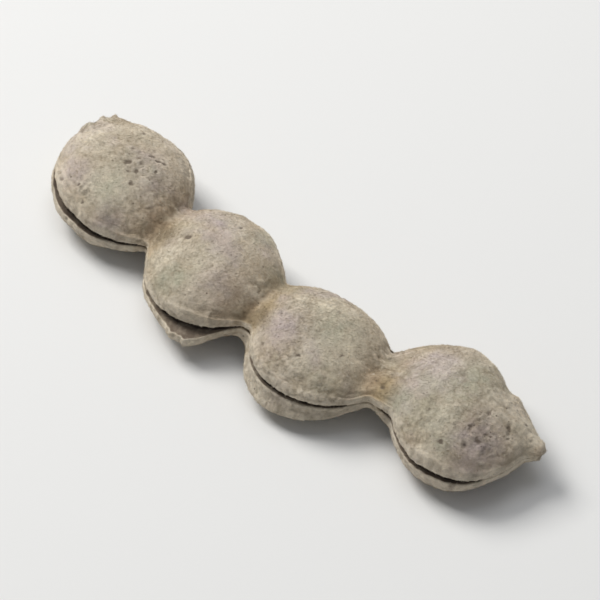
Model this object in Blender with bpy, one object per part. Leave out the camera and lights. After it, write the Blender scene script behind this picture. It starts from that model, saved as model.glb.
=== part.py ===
# A dried acacia pod: flattened seed beads on narrow necks, snapped off at one end and beaked at
# the other. The front seam has sprung open, so a slit runs round each bead between two lips.
# The sizes are millimetres, and the mesh is made in metres. X runs from the snapped end to the
# beak, Y from the slit seam to the closed seam, and the pod lies on the flats under its beads.

from math import radians
from typing import NamedTuple

import bmesh
import bpy
import numpy as np
from mathutils import Vector, noise

MM = 0.001


class Bead(NamedTuple):
    pitch: float  # from the middle of the bead before it
    back: float  # reach from its middle towards the snapped end
    ahead: float  # and towards the beak
    slit_side: float  # half width on that side
    closed_side: float
    slit_lean: float  # how far ahead of the middle the slit side is widest
    closed_lean: float  # and the closed side
    crown: float  # rise of the upper valve over its edge
    belly: float  # how far the lower valve swells out past its lip
    slit: float  # how far the lips stand apart
    lip_step: float  # how far the lower lip stands out past the upper
    lip_lean: float  # how far ahead of the middle it stands out most
    flare: float  # how much further it flares out near the neck ahead


class Waist(NamedTuple):
    place: float  # along the pod, from the middle of the first bead
    slit_side: float
    closed_side: float
    height: float  # half of the thickness


BEADS = (
    Bead(0.0, 8.4, 6.9, 6.5, 6.1, 0.4, -0.4, 3.00, 0.15, 0.68, 0.45, -3.0, 0.0),
    Bead(13.4, 6.9, 6.9, 7.3, 5.7, 0.0, 0.0, 2.95, 0.15, 0.56, 0.30, -1.0, 1.5),
    Bead(12.6, 6.7, 7.6, 7.3, 4.9, 1.1, -0.4, 2.80, 1.20, 0.46, 0.22, -2.0, 0.0),
    Bead(15.5, 7.1, 6.1, 7.4, 6.1, 1.6, -1.8, 3.05, 0.25, 0.50, 0.28, 0.0, 0.0),
)
MIDDLES = np.cumsum([bead.pitch for bead in BEADS])
SNAPPED_END = -8.1
BEAK_END = MIDDLES[-1] + 8.9
WAISTS = (
    Waist(SNAPPED_END, 1.4, 2.2, 1.05),
    Waist(-6.9, 2.0, 2.8, 1.25),
    Waist(6.6, 3.5, 2.4, 1.15),
    Waist(19.5, 3.4, 3.0, 1.10),
    Waist(33.6, 3.4, 2.5, 1.05),
    Waist(BEAK_END - 4.5, 4.7, 3.9, 2.20),
    Waist(BEAK_END - 2.0, 3.6, 2.0, 1.50),
    Waist(BEAK_END - 1.1, 1.6, 1.3, 0.95),
    Waist(BEAK_END, 0.9, 0.8, 0.65),
)
FOLDED_WAISTS = WAISTS[1:6]

BEND_RADIUS = 118.0  # of the whole pod, with the slit seam on the outside
SIDE_WANDER = 0.35  # the beads stand a little left and right of that curve
SIDE_WANDER_LENGTH = 37.0
SIDE_WANDER_START = 1.0  # radians
TWIST = radians(2.4)
TWIST_LENGTH = 31.0
SNAPPED_BEND = 1.6  # the snapped neck turns towards the closed seam
SNAPPED_BEND_FROM = -4.5

OUTLINE_POWER = 0.5  # exponent of a bead's outline: 0.5 is an ellipse, 1 a parabola
FULLNESS = 0.60  # and of its dome
BLEND = 8.0  # power of the sum that runs the beads into the necks
BELLY_SHARE = 0.98  # drop of the lower valve, as a share of the rise of the upper
BELLY_FULLNESS = 0.45  # how much squarer its flank is for each millimetre that it swells out
BELLY_PEAK = 3.5  # brings the swelling's profile to 1 where it stands out most
EDGE = 0.50  # half thickness of a bead at its closed seam
EDGE_IN_DOME = 0.5  # how much of the edge the dome's rise already holds
FULL_SIZE_FROM = 3.0  # half width from which the edge, lips and seam have their full size
LIP = 0.42  # thickness of a valve at the slit
LIP_ROUND = 0.14
SLIT_DEPTH = 2.4
SLIT_WALL = ((1.0, 0.2), (0.45, 0.7))  # shares of the slit's depth, and of its opening there
SLIT_SHARE = 0.93  # of a bead's length that the slit runs
SLIT_TAPER = 0.6  # exponent of its ends: the lower, the blunter
FLARE_LEAN = 3.7  # the flare's place ahead of its bead's middle
FLARE_BACK = 2.6  # its reach
FLARE_AHEAD = 1.1
FLARE_DROOP = 0.12  # how far it hangs, as a share of how far it stands out
CLOSED_SLIT = 0.10  # what is left of it as a seam line along the necks
CLOSED_DEPTH = 0.30
SEAM_DEPTH = 0.14  # groove along the closed seam
SEAM_WALL = ((0.0, 0.62), (-0.4, 0.25))  # shares of the groove's depth, and of the edge, beside it
RIM_RISE = 0.13  # raised nerve along both seams
RIM_PLACE = 0.955
RIM_WIDTH = 0.035
GUTTER_DROP = 0.12  # hollow just inside the nerve
GUTTER_PLACE = 0.86
GUTTER_WIDTH = 0.06
RELIEF_FULL_FROM = 5.0  # half width from which the nerve and gutter are full

FOLD_HEIGHT = 0.09  # folds that run through the necks
FOLD_COUNT = 4.6
FOLD_REACH = 2.2
FOLD_SHIFT = 1.7  # radians by which they differ from neck to neck
LUMP_HEIGHT = 0.24
LUMP_SIZE = 4.6
FINE_LUMP_SHARE = 0.35
FINE_LUMP_SIZE = 1.9
FINE_LUMP_START = Vector((7.3, 1.9, 4.1))
LUMPS_FULL_FROM = 1.2  # height over the seams at which the lumps are full
WOBBLE = 0.045  # how far the outline strays from its curve, as a share of the width
WOBBLE_LENGTH = 3.2
WOBBLE_SIDES = 3.1  # how unlike the two sides stray
RESTING_FLAT = 0.17  # how much of each belly is pressed flat

SNAP_JAG = 0.7  # how raggedly the pod snapped off
BEAK_JAG = 0.5
JAG_SIZE = 1.0
SNAP_HOLLOW = 0.45
SNAP_HOLLOW_SHARE = 0.6
BEAK_POINT = 0.12

RING_COUNT = 108
CROWN_POINTS = 21
BELLY_POINTS = 17
OUTLINE_SAMPLES = 4000
SHARP_ANGLE = radians(45)


def inside_bead(place, bead, middle, share=1.0):
    """1 at the middle of a bead, falling as a parabola to 0 at that share of its reach."""
    reach = np.where(place < middle, bead.back, bead.ahead) * share
    return np.clip(1 - ((place - middle) / reach) ** 2, 0, None)


def swell(place, bead_size, waist_size, power, lean=None):
    """A width or height along the pod: a dome over each bead, run smoothly into the necks."""
    total = np.interp(place, [w.place for w in WAISTS], [getattr(w, waist_size) for w in WAISTS]) ** BLEND
    for bead, middle in zip(BEADS, MIDDLES):
        dome = inside_bead(place, bead, middle + (getattr(bead, lean) if lean else 0)) ** power
        total = total + (getattr(bead, bead_size) * dome) ** BLEND
    return total ** (1 / BLEND)


def half_width(place, side):
    return swell(place, side, side, OUTLINE_POWER, side.replace("side", "lean"))


def slit_opening(place):
    """0 at the necks and 1 in the middle of a bead, with the lips' gap, step and droop there."""
    share = gap = step = droop = 0.0
    for bead, middle in zip(BEADS, MIDDLES):
        opened = float(inside_bead(place, bead, middle, SLIT_SHARE)) ** SLIT_TAPER
        share += opened
        gap += opened * bead.slit
        standing_out = float(inside_bead(place, bead, middle + bead.lip_lean, SLIT_SHARE))
        past = place - middle - FLARE_LEAN
        flare = opened * bead.flare * np.exp(-((past / (FLARE_BACK if past < 0 else FLARE_AHEAD)) ** 2))
        step += standing_out**SLIT_TAPER * bead.lip_step + flare
        droop += flare * FLARE_DROOP
    return share, gap, step, droop


def belly_swelling(place):
    beads = zip(BEADS, MIDDLES)
    return sum(float(inside_bead(place, bead, middle)) ** OUTLINE_POWER * bead.belly for bead, middle in beads)


def even_places():
    """Places along the pod that lie evenly along its outline, so that the notches get their share."""
    fine = np.linspace(SNAPPED_END, BEAK_END, OUTLINE_SAMPLES)
    width = (half_width(fine, "slit_side") + half_width(fine, "closed_side")) / 2
    step = np.hypot(np.diff(fine), np.diff(width))
    run = np.concatenate([[0], np.cumsum(step)])
    return np.interp(np.linspace(0, run[-1], RING_COUNT), run, fine)


def across(count):
    """Shares of the width from the slit seam, -1, to the closed seam, 1, closer together near both."""
    return -np.cos(np.linspace(0, np.pi, count + 2)[1:-1])


def relief(t):
    """The nerve along a seam and the gutter inside it."""
    nerve = RIM_RISE * np.exp(-(((np.abs(t) - RIM_PLACE) / RIM_WIDTH) ** 2))
    gutter = GUTTER_DROP * np.exp(-(((np.abs(t) - GUTTER_PLACE) / GUTTER_WIDTH) ** 2))
    return nerve - gutter


def folds(t, place):
    """Folds that gather in each neck and fan out into the beads."""
    total = 0.0
    for number, neck in enumerate(FOLDED_WAISTS):
        near = np.exp(-(((place - neck.place) / FOLD_REACH) ** 2))
        total = total + near * np.cos(FOLD_COUNT * np.pi * t + FOLD_SHIFT * number)
    return FOLD_HEIGHT * total * (1 - t**2)


def valve(count, place, slit_lip, closed_seam, height, edge, belly=0.0, droop=0.0):
    """Points (v, z) of one valve, from its lip at the slit to the closed seam."""
    t = across(count)
    dome = (1 - t**2) ** (FULLNESS * (1 - BELLY_FULLNESS * belly * (t < 0)))
    z = edge + height * dome + relief(t) * min(1, closed_seam / RELIEF_FULL_FROM) + folds(t, place)
    swollen = belly * BELLY_PEAK * t**4 * np.sqrt(1 - t**2)
    hanging = droop * np.clip(-2 * t - 1, 0, 1)
    return list(zip(np.where(t < 0, -t * slit_lip - swollen, t * closed_seam), z + hanging))


def section(place):
    """One closed cross-section, as points (v, z): v towards the closed seam, z up from the seams."""
    closed_seam = float(half_width(place, "closed_side"))
    size = min(1.0, closed_seam / FULL_SIZE_FROM)
    share, gap, step, droop = slit_opening(place)
    mouth = (CLOSED_SLIT * size + gap) / 2
    depth = CLOSED_DEPTH * size + (SLIT_DEPTH - CLOSED_DEPTH) * share
    edge = max(EDGE * size, mouth + LIP * size)
    rounding = LIP_ROUND * size
    groove = SEAM_DEPTH * size
    crown = float(swell(place, "crown", "height", FULLNESS)) - edge * EDGE_IN_DOME
    upper_lip = -float(half_width(place, "slit_side"))
    lower_lip = upper_lip - step

    upper = valve(CROWN_POINTS, place, upper_lip, closed_seam, crown, edge)
    height = crown * BELLY_SHARE
    lower = valve(BELLY_POINTS, place, lower_lip, closed_seam, height, edge, belly_swelling(place), droop)
    slit_wall = [(upper_lip + inward * depth, mouth * opening) for inward, opening in SLIT_WALL]
    seam_wall = [(closed_seam - inward * groove, edge * height) for inward, height in SEAM_WALL]
    return [
        *slit_wall,
        (upper_lip + rounding, mouth),
        (upper_lip, mouth + rounding),
        *upper,
        *seam_wall,
        (closed_seam - groove, 0.0),
        *((v, -z) for v, z in reversed(seam_wall)),
        *((v, -z) for v, z in reversed(lower)),
        (lower_lip, -mouth - droop - rounding),
        (lower_lip + rounding, -mouth - droop),
        *((v, -z) for v, z in reversed(slit_wall)),
    ]


def lumps(point):
    """Low dents and swellings that no bead is without."""
    coarse = noise.noise(Vector(point) / LUMP_SIZE)
    fine = noise.noise(Vector(point) / FINE_LUMP_SIZE + FINE_LUMP_START)
    return LUMP_HEIGHT * (coarse + FINE_LUMP_SHARE * fine)


def wobble(place, v):
    """The share by which the outline stands out further, or less far, at that place on that side."""
    return 1 + WOBBLE * noise.noise(Vector((place / WOBBLE_LENGTH, WOBBLE_SIDES * np.sign(v), 0.0)))


def onto_pod(place, v, z):
    """A point of a section, turned by the twist and carried onto the pod's curve."""
    turn = TWIST * np.sin(2 * np.pi * place / TWIST_LENGTH)
    v, z = v * np.cos(turn) - z * np.sin(turn), v * np.sin(turn) + z * np.cos(turn)
    v += SIDE_WANDER * np.sin(2 * np.pi * place / SIDE_WANDER_LENGTH + SIDE_WANDER_START)
    v += SNAPPED_BEND * (max(0.0, SNAPPED_BEND_FROM - place) / (SNAPPED_BEND_FROM - SNAPPED_END)) ** 2
    along = (place - MIDDLES.mean()) / BEND_RADIUS
    radius = BEND_RADIUS - v
    return radius * np.sin(along), BEND_RADIUS - radius * np.cos(along), z


def ring(place, jag=0.0):
    points = []
    for v, z in section(place):
        shift = jag * noise.noise(Vector((v / JAG_SIZE, z / JAG_SIZE, place)))
        x, y, height = onto_pod(place + shift, v * wobble(place, v), z)
        outward = np.sign(z) * min(1.0, abs(z) / LUMPS_FULL_FROM)
        points.append((x, y, height + outward * lumps((x, y, z))))
    return points


def shrunk(points, share, shift):
    """A ring drawn in towards its middle and moved along the pod."""
    middle = np.mean(points, axis=0)
    return [tuple(middle + (np.array(p) - middle) * share + (shift, 0, 0)) for p in points]


def loft_faces(ring_count, around):
    """Quads between the rings, and a fan to one last point at each end."""
    faces = []
    for low in range(0, around * (ring_count - 1), around):
        for k in range(around):
            after = (k + 1) % around
            faces.append((low + k, low + after, low + around + after, low + around + k))
    last = around * (ring_count - 1)
    start_point = around * ring_count
    for k in range(around):
        after = (k + 1) % around
        faces.append((start_point, after, k))
        faces.append((start_point + 1, last + k, last + after))
    return faces


def pod_mesh():
    places = even_places()
    rings = [ring(place) for place in places]
    rings[0] = ring(places[0], SNAP_JAG)
    rings[-1] = ring(places[-1], BEAK_JAG)
    rings.insert(0, shrunk(rings[0], SNAP_HOLLOW_SHARE, SNAP_HOLLOW))
    hollow_middle = tuple(np.mean(rings[0], axis=0))
    beak_tip = tuple(np.mean(rings[-1], axis=0) + (BEAK_POINT, 0, 0))
    points = np.array([p for one in rings for p in one] + [hollow_middle, beak_tip])

    points[:, 2] = np.maximum(points[:, 2] - points[:, 2].min() - RESTING_FLAT, 0)
    points[:, :2] -= (points[:, :2].min(0) + points[:, :2].max(0)) / 2
    mesh = bpy.data.meshes.new("pod")
    mesh.from_pydata(points * MM, [], loft_faces(len(rings), len(rings[0])))
    return mesh


def felted_shell():
    material = bpy.data.materials.new("felted_shell")
    material.use_nodes = True
    surface = material.node_tree.nodes["Principled BSDF"]
    surface.inputs["Base Color"].default_value = (0.43, 0.35, 0.25, 1)
    surface.inputs["Roughness"].default_value = 0.95
    surface.inputs["Metallic"].default_value = 0.0
    return material


def main():
    for old in list(bpy.data.objects):
        bpy.data.objects.remove(old)
    collection = bpy.data.collections.new("acacia_pod")
    bpy.context.scene.collection.children.link(collection)

    mesh = pod_mesh()
    tidy = bmesh.new()
    tidy.from_mesh(mesh)
    bmesh.ops.recalc_face_normals(tidy, faces=tidy.faces)
    tidy.to_mesh(mesh)
    tidy.free()
    mesh.shade_smooth()
    mesh.set_sharp_from_angle(angle=SHARP_ANGLE)
    mesh.materials.append(felted_shell())
    collection.objects.link(bpy.data.objects.new("pod", mesh))


main()
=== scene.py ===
from math import cos, pi, radians, sin

import bmesh
import bpy
import numpy as np
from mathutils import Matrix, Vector, noise


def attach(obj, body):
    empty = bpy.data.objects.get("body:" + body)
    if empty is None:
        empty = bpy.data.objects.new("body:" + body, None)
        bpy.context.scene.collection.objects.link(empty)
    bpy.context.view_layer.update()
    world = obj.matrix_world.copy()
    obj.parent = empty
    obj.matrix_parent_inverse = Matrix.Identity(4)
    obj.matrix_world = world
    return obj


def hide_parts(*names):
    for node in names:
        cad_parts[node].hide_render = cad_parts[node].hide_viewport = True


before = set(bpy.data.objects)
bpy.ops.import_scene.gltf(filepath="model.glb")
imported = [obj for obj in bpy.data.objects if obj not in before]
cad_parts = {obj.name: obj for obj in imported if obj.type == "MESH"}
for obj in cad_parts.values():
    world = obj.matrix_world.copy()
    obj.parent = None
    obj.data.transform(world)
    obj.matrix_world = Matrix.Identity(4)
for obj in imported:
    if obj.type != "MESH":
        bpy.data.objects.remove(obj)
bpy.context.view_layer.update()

# Sizes are millimetres unless a name says otherwise, and each mesh is made in metres.
mm = 0.001
print("frame loaded")


# Helpers for node trees

def addNode(tree, kind, inputs=None, **settings):
    made = tree.nodes.new(kind)
    for name, value in settings.items():
        setattr(made, name, value)
    for name, value in (inputs or {}).items():
        setSocket(tree, made.inputs[name], value)
    return made


def setSocket(tree, socket, value):
    if isinstance(value, bpy.types.NodeSocket):
        tree.links.new(value, socket)
    else:
        socket.default_value = value


def calc(tree, operation, *values):
    return addNode(tree, "ShaderNodeMath", dict(enumerate(values)), operation=operation).outputs[0]


def product(tree, first, *others):
    for value in others:
        first = calc(tree, "MULTIPLY", first, value)
    return first


def vectorCalc(tree, operation, *values):
    return addNode(tree, "ShaderNodeVectorMath", dict(enumerate(values)), operation=operation).outputs[0]


def scaled(tree, vector, scale):
    made = addNode(tree, "ShaderNodeVectorMath", {0: vector, "Scale": scale}, operation="SCALE")
    return made.outputs[0]


def ramp(tree, value, low, high):
    inputs = {"Value": value, "From Min": low, "From Max": high}
    return addNode(tree, "ShaderNodeMapRange", inputs, interpolation_type="SMOOTHSTEP").outputs[0]


def noiseNode(tree, vector, scale, detail, roughness=0.5, distortion=0.0):
    inputs = {"Vector": vector, "Scale": scale, "Detail": detail, "Roughness": roughness}
    inputs["Distortion"] = distortion
    return addNode(tree, "ShaderNodeTexNoise", inputs)


def noiseValue(tree, vector, *pattern):
    return noiseNode(tree, vector, *pattern).outputs[0]


def centredNoise(tree, vector, *pattern):
    return calc(tree, "SUBTRACT", noiseValue(tree, vector, *pattern), 0.5)


def heightOf(tree, vector):
    return addNode(tree, "ShaderNodeSeparateXYZ", {0: vector}).outputs[2]


def threeParts(tree, color):
    family = "FunctionNode" if tree.bl_idname == "GeometryNodeTree" else "ShaderNode"
    return addNode(tree, family + "SeparateColor", {0: color}).outputs


def mixColor(tree, share, first, second, blend="MIX"):
    made = addNode(tree, "ShaderNodeMix", data_type="RGBA", blend_type=blend)
    for place, value in ((0, share), (6, first), (7, second)):
        setSocket(tree, made.inputs[place], value)
    return made.outputs[2]


def greyLevel(tree, value):
    return addNode(tree, "ShaderNodeCombineColor", {0: value, 1: value, 2: value}).outputs[0]


def setInputs(modifier, values):
    for item in modifier.node_group.interface.items_tree:
        if item.item_type == "SOCKET" and item.in_out == "INPUT" and item.name in values:
            modifier[item.identifier] = values[item.name]


def newTree(name, kind, inputs, outputs):
    tree = bpy.data.node_groups.new(name, kind)
    for label, socketType, value in inputs:
        socket = tree.interface.new_socket(label, in_out="INPUT", socket_type=socketType)
        if value is not None:
            socket.default_value = value
    for label, socketType in outputs:
        tree.interface.new_socket(label, in_out="OUTPUT", socket_type=socketType)
    return tree, tree.nodes.new("NodeGroupInput"), tree.nodes.new("NodeGroupOutput")


def newShapeTree(name, sizes, others=()):
    # A Geometry Nodes tree with one input a size
    inputs = [("Geometry", "NodeSocketGeometry", None)]
    inputs += [(label, "NodeSocketFloat", value) for label, value in sizes.items()]
    outputs = [("Geometry", "NodeSocketGeometry")]
    tree, start, end = newTree(name, "GeometryNodeTree", [*inputs, *others], outputs)
    return tree, start.outputs, end


def endShapeTree(tree, end, geometry, material):
    real = addNode(tree, "GeometryNodeRealizeInstances", {"Geometry": geometry})
    done = addNode(tree, "GeometryNodeSetMaterial", {"Geometry": real.outputs[0], "Material": material})
    tree.links.new(done.outputs[0], end.inputs[0])


def storedField(tree, name):
    made = addNode(tree, "GeometryNodeInputNamedAttribute", {"Name": name}, data_type="FLOAT")
    return made.outputs[0]


def placeInMm(tree):
    return scaled(tree, addNode(tree, "GeometryNodeInputPosition").outputs[0], 1 / mm)


def appliedNodes(source, tree, values, name):
    modifier = source.modifiers.new("nodes", "NODES")
    modifier.node_group = tree
    setInputs(modifier, values)
    shown = source.evaluated_get(bpy.context.evaluated_depsgraph_get())
    mesh = bpy.data.meshes.new_from_object(shown)
    mesh.name = name
    source.modifiers.remove(modifier)
    return newObject(name, mesh)


def newObject(name, data):
    made = bpy.data.objects.new(name, data)
    bpy.context.scene.collection.objects.link(made)
    return made


# The pod's skin: a fine loft from the snapped end to the beak

podShape = {
    "beads": (
        {"pitch": 0.0, "back": 8.4, "ahead": 6.9, "slitSide": 6.5, "closedSide": 6.1, "slitLean": 0.4,
         "closedLean": -0.4, "crown": 3.00, "belly": 0.15, "slit": 0.68, "lipStep": 0.45, "lipLean": -3.0,
         "flare": 0.0, "ledge": 0.75},
        {"pitch": 13.4, "back": 6.9, "ahead": 6.9, "slitSide": 7.3, "closedSide": 5.7, "slitLean": 0.0,
         "closedLean": 0.0, "crown": 2.95, "belly": 0.15, "slit": 0.56, "lipStep": 0.30, "lipLean": -1.0,
         "flare": 1.5, "ledge": 0.55},
        {"pitch": 12.6, "back": 6.7, "ahead": 7.6, "slitSide": 7.3, "closedSide": 4.9, "slitLean": 1.1,
         "closedLean": -0.4, "crown": 2.80, "belly": 1.20, "slit": 0.46, "lipStep": 0.22, "lipLean": -2.0,
         "flare": 0.0, "ledge": 0.6},
        {"pitch": 15.5, "back": 7.1, "ahead": 6.1, "slitSide": 7.4, "closedSide": 6.1, "slitLean": 1.6,
         "closedLean": -1.8, "crown": 3.05, "belly": 0.25, "slit": 0.50, "lipStep": 0.28, "lipLean": 0.0,
         "flare": 0.0, "ledge": 0.7},
    ),
    "waists": (  # place along the pod, half width on the slit side and the closed side, half height
        (-8.1, 1.4, 2.2, 1.05), (-6.9, 2.0, 2.8, 1.25), (6.6, 3.5, 2.4, 1.15), (19.5, 3.4, 3.0, 1.10),
        (33.6, 3.4, 2.5, 1.05), (45.9, 4.7, 3.9, 2.20), (48.4, 3.6, 2.0, 1.50), (49.3, 1.6, 1.3, 0.95),
        (50.4, 0.9, 0.8, 0.65),
    ),
    "bendRadius": 118.0,
    "sideWander": 0.35, "sideWanderLength": 37.0, "sideWanderStart": 1.0,
    "twist": radians(2.4), "twistLength": 31.0,
    "snappedBend": 1.6, "snappedBendFrom": -4.5,
    "outlinePower": 0.5, "fullness": 0.60, "blend": 8.0, "bellyShare": 0.98,
    "flareLean": 3.7, "flareBack": 2.6, "flareAhead": 1.1, "flareDroop": 0.12,
    "flareRagged": 0.24, "flareRaggedSize": 0.5,
    "bellyFullness": 0.45, "bellyTaper": 0.5, "bellyBulge": 3.5,
    "edge": 0.50, "edgeInDome": 0.5, "fullSizeFrom": 3.0,
    "lip": 0.42, "lipRound": 0.14, "lipInset": 0.03, "lipNibble": 0.09, "lipNibbleSize": 0.55,
    "slitDepth": 2.4, "slitShare": 0.93, "slitTaper": 0.6,
    "mouthVaries": 0.35, "mouthVariesSize": 1.3,
    "paleLip": 0.10, "ledgeMottle": 0.3, "ledgeMottleSize": 1.9, "ledgeSpread": 1.8, "ledgeWithin": 0.16,
    "darkWithin": 0.3, "darkSpread": 4,
    "closedSlit": 0.10, "closedDepth": 0.30, "seamDepth": 0.14,
    "rimRise": 0.13, "rimPlace": 0.955, "rimWidth": 0.035,
    "gutterDrop": 0.12, "gutterPlace": 0.86, "gutterWidth": 0.06, "reliefFullFrom": 5.0,
    "foldHeight": 0.09, "foldCount": 4.6, "foldReach": 2.2, "foldShift": 1.7,
    "lumpHeight": 0.24, "lumpSize": 4.6, "fineLumpShare": 0.35, "fineLumpSize": 1.9,
    "fineLumpShift": (7.3, 1.9, 4.1), "lumpsFullFrom": 1.2,
    "wobble": 0.045, "wobbleLength": 3.2, "wobbleSides": 3.1,
    "restingFlat": 0.17,
    "snapJag": 0.7, "beakJag": 0.5, "jagSize": 1.0, "jagReach": 1.6,
    "rings": 410, "outlineSteps": 4000,
    "crownPoints": 84, "bellyPoints": 54, "lipPoints": 5, "lipRises": (0.35, 0.7),
    "slitColumns": (1, 0.8, 0.55, 0.38, 0.26, 0.18, 0.13, 0.09, 0.06, 0.035, 0.015),  # bottom to lip
    "slitNarrowing": ((0, 0.45, 1), (1.0, 0.7, 0.2)),  # share of the depth, share of the mouth
    "seamProfile": ((0.0, 0.8), (0.22, 0.6), (0.38, 0.4), (0.32, 0.22), (-0.2, 0.09)),  # bulge and rise
    "hollowEnd": ((0.0, 0.75), (0.3, 0.7), (0.6, 0.45), (0.85, 0.12)),  # share and shift of each ring
    "bluntEnd": ((0.85, 0.05), (0.5, 0.1), (0.0, 0.12)),
    "noiseRows": {  # where each noise along the pod is read
        "flareRagged": (5.0, 2.0), "ledgeMottle": (13.0, 4.0),
        "lipNibble": (3.0, 0.0), "mouthVaries": (9.0, 0.0),
    },
}
middles = np.cumsum([bead["pitch"] for bead in podShape["beads"]])
waistTable = np.array(podShape["waists"])
waistColumn = {"slitSide": 1, "closedSide": 2, "crown": 3}
snappedEnd, beakEnd = waistTable[0, 0], waistTable[-1, 0]
neckPlaces, foldPlaces = waistTable[2:5, 0], waistTable[1:6, 0]


def noiseAt(points, size, shift=(0.0, 0.0, 0.0)):
    start = Vector(shift)
    values = [noise.noise(Vector(point) / size + start) for point in points.reshape(-1, 3)]
    return np.array(values).reshape(points.shape[:-1])


def stacked(*parts):
    return np.stack(np.broadcast_arrays(*parts), axis=-1)


def rowNoise(place, name):
    # The noise of this name along the pod, at its own size
    return noiseAt(stacked(place, *podShape["noiseRows"][name]), podShape[name + "Size"])


def insideBead(place, bead, middle, share=1.0):
    reach = np.where(place < middle, bead["back"], bead["ahead"]) * share
    return np.clip(1 - ((place - middle) / reach) ** 2, 0, None)


def swell(place, size, power, lean=""):
    blend = podShape["blend"]
    total = np.interp(place, waistTable[:, 0], waistTable[:, waistColumn[size]]) ** blend
    for bead, middle in zip(podShape["beads"], middles):
        dome = insideBead(place, bead, middle + bead.get(lean, 0)) ** power
        total = total + (bead[size] * dome) ** blend
    return total ** (1 / blend)


def halfWidth(place, side):
    return swell(place, side, podShape["outlinePower"], side.replace("Side", "Lean"))


def slitOpening(place):
    # How open the slit is, its gap, how far the lower lip steps out and droops, and how much painted shade
    # lies on its ledge
    s = podShape
    share = gap = step = droop = ledge = np.zeros_like(place)
    ragged = 1 + s["flareRagged"] * rowNoise(place, "flareRagged")
    mottled = 1 + s["ledgeMottle"] * rowNoise(place, "ledgeMottle")
    for bead, middle in zip(s["beads"], middles):
        opened = insideBead(place, bead, middle, s["slitShare"]) ** s["slitTaper"]
        out = insideBead(place, bead, middle + bead["lipLean"], s["slitShare"])
        share = share + opened
        gap = gap + opened * bead["slit"]
        ledge = ledge + np.minimum(1, s["ledgeSpread"] * opened) * bead["ledge"] * mottled
        step = step + out ** s["slitTaper"] * bead["lipStep"]
        past = place - middle - s["flareLean"]
        flare = np.exp(-((past / np.where(past < 0, s["flareBack"], s["flareAhead"])) ** 2)) * ragged
        step = step + flare * opened * bead["flare"]
        droop = droop + flare * opened * bead["flare"] * s["flareDroop"]
    return share, gap, step, droop, ledge


def bellySwelling(place):
    # How far the lower valve swells out past its lip
    total = 0.0
    for bead, middle in zip(podShape["beads"], middles):
        total = total + insideBead(place, bead, middle) ** podShape["bellyTaper"] * bead["belly"]
    return total


def evenPlaces(count):
    # Places of the rings, at even steps along the outline
    fine = np.linspace(snappedEnd, beakEnd, podShape["outlineSteps"])
    width = (halfWidth(fine, "slitSide") + halfWidth(fine, "closedSide")) / 2
    run = np.concatenate([[0], np.cumsum(np.hypot(np.diff(fine), np.diff(width)))])
    return np.interp(np.linspace(0, run[-1], count), run, fine)[:, None]


def valveHeight(t, place, closedSeam, height, edge, belly):
    s = podShape
    fullness = s["fullness"] * (1 - s["bellyFullness"] * belly * (t < 0))
    dome = (1 - t**2) ** fullness
    nerve = s["rimRise"] * np.exp(-(((np.abs(t) - s["rimPlace"]) / s["rimWidth"]) ** 2))
    gutter = s["gutterDrop"] * np.exp(-(((np.abs(t) - s["gutterPlace"]) / s["gutterWidth"]) ** 2))
    folds = 0.0
    for number, fold in enumerate(foldPlaces):
        near = np.exp(-(((place - fold) / s["foldReach"]) ** 2))
        folds = folds + near * np.cos(s["foldCount"] * pi * t + s["foldShift"] * number)
    full = np.minimum(1, closedSeam / s["reliefFullFrom"])
    return edge + height * dome + (nerve - gutter) * full + s["foldHeight"] * folds * (1 - t**2)


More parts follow.
